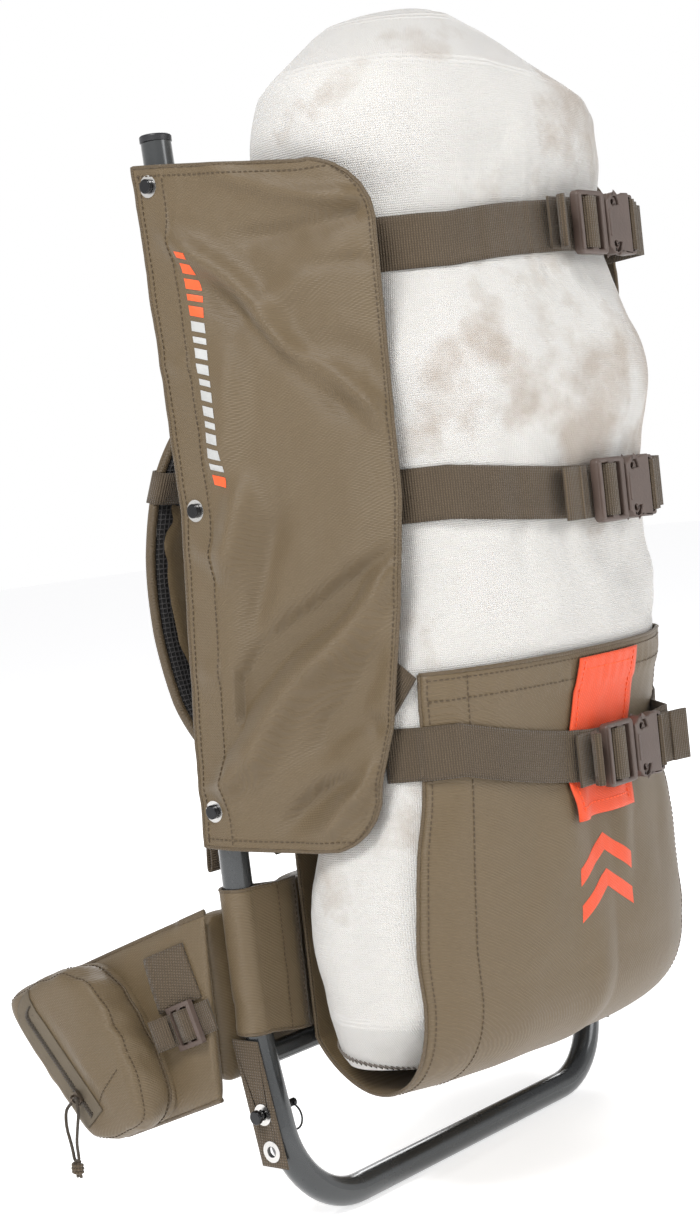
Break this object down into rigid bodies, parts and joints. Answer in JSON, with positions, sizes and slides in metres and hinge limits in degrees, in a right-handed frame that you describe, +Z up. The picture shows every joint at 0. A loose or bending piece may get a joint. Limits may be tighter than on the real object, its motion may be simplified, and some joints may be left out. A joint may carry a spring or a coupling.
{
  "type": "hunting backpack",
  "caption": "External-frame hunting backpack: U-shaped tube frame, side wings, buckled straps and a sling round a tied-in game bag, hip belt with pockets.",
  "frame": {"origin": "on the floor, halfway between the rails and in the plane of their lower ends' clamps: the bottom bar's underside is at z = 0", "axes": "+Z up along the rails, +Y towards the wearer, +X towards the wearer's right"},
  "size_m": [0.5858, 0.4398, 0.877],
  "materials": {
    "tube": "glossy gunmetal powder coat",
    "plastic": "dark brown-grey moulded plastic",
    "caps": "black plastic",
    "steel": "bright nickel",
    "pin": "black oxide",
    "twill": "coated coyote-brown twill",
    "webbing": "ribbed coyote webbing",
    "mesh": "dark spacer mesh",
    "orange": "bright orange fabric",
    "cotton": "off-white open-weave cotton",
    "cord": "thin braided cord",
    "zip": "zip tape and coil"
  },
  "bodies": {
    "pack": {"back_band": "mesh", "belt_tabs": "webbing", "buckle_female_bottom": "plastic", "buckle_female_middle": "plastic", "buckle_female_top": "plastic", "clevis_pins_left": "pin", "clevis_pins_right": "pin", "compression_straps_left": "webbing", "compression_straps_right": "webbing", "frame_tube": "tube", "game_bag": "cotton", "grommets": "steel", "lifter_webbing": "webbing", "lower_crossbar": "tube", "lower_webbing_left": "webbing", "lower_webbing_right": "webbing", "lumbar_pad": "twill", "middle_crossbar": "tube", "pin_rings": "steel", "rail_sleeve_left": "twill", "rail_sleeve_right": "twill", "shoulder_strap_left": "twill", "shoulder_strap_right": "twill", "sling": "twill", "sling_strap_left": "webbing", "sling_strap_right": "webbing", "sling_tab": "orange", "strap_ladderlocks": "plastic", "tube_caps": "caps", "upper_crossbar": "tube", "wing_left": "twill", "wing_right": "twill", "yoke": "twill"},
    "buckle_male_top": {"buckle_male_top": "plastic", "strap_tail_top": "webbing"},
    "buckle_male_middle": {"buckle_male_middle": "plastic", "strap_tail_middle": "webbing"},
    "buckle_male_bottom": {"buckle_male_bottom": "plastic", "strap_tail_bottom": "webbing"},
    "hip_belt_left": {"belt_wing_left": "twill", "belt_pocket_left": "twill", "belt_zip_left": "zip", "belt_webbing_left": "webbing", "belt_ladderlock_left": "plastic", "waist_webbing_left": "webbing", "waist_buckle_left": "plastic"},
    "zip_slider_left": {"zip_slider_left": "steel"},
    "zip_pull_left": {"zip_cord_left": "cord", "zip_knot_left": "cord"},
    "hip_belt_right": {"belt_wing_right": "twill", "belt_pocket_right": "twill", "belt_zip_right": "zip", "belt_webbing_right": "webbing", "belt_ladderlock_right": "plastic", "waist_webbing_right": "webbing", "waist_buckle_right": "plastic"},
    "zip_slider_right": {"zip_slider_right": "steel"},
    "zip_pull_right": {"zip_cord_right": "cord", "zip_knot_right": "cord"}
  },
  "joints": [
    {"name": "buckle_release_top", "type": "slide", "parent": "pack", "child": "buckle_male_top", "axis": [-1, 0, 0], "range_m": [0, 0.024]},
    {"name": "buckle_release_middle", "type": "slide", "parent": "pack", "child": "buckle_male_middle", "axis": [-1, 0, 0], "range_m": [0, 0.024]},
    {"name": "buckle_release_bottom", "type": "slide", "parent": "pack", "child": "buckle_male_bottom", "axis": [-1, 0, 0], "range_m": [0, 0.024]},
    {"name": "belt_fold_left", "type": "hinge", "parent": "pack", "child": "hip_belt_left", "pos_m": [-0.2075, 0.033, 0.17], "axis": [0, 0, -1], "range_deg": [0, 45]},
    {"name": "zip_travel_left", "type": "slide", "parent": "hip_belt_left", "child": "zip_slider_left", "axis": [0, 0.6636, 0.7481], "range_m": [0, 0.07]},
    {"name": "zip_pull_swing_left", "type": "hinge", "parent": "zip_slider_left", "child": "zip_pull_left", "pos_m": [-0.2837, 0.11339, 0.10746], "axis": [0, 0.7481, -0.6636], "range_deg": [-3, 80]},
    {"name": "belt_fold_right", "type": "hinge", "parent": "pack", "child": "hip_belt_right", "pos_m": [0.2075, 0.033, 0.17], "axis": [0, 0, 1], "range_deg": [0, 45]},
    {"name": "zip_travel_right", "type": "slide", "parent": "hip_belt_right", "child": "zip_slider_right", "axis": [0, 0.6636, 0.7481], "range_m": [0, 0.07]},
    {"name": "zip_pull_swing_right", "type": "hinge", "parent": "zip_slider_right", "child": "zip_pull_right", "pos_m": [0.2837, 0.11339, 0.10746], "axis": [0, -0.7481, 0.6636], "range_deg": [-3, 80]}
  ]
}
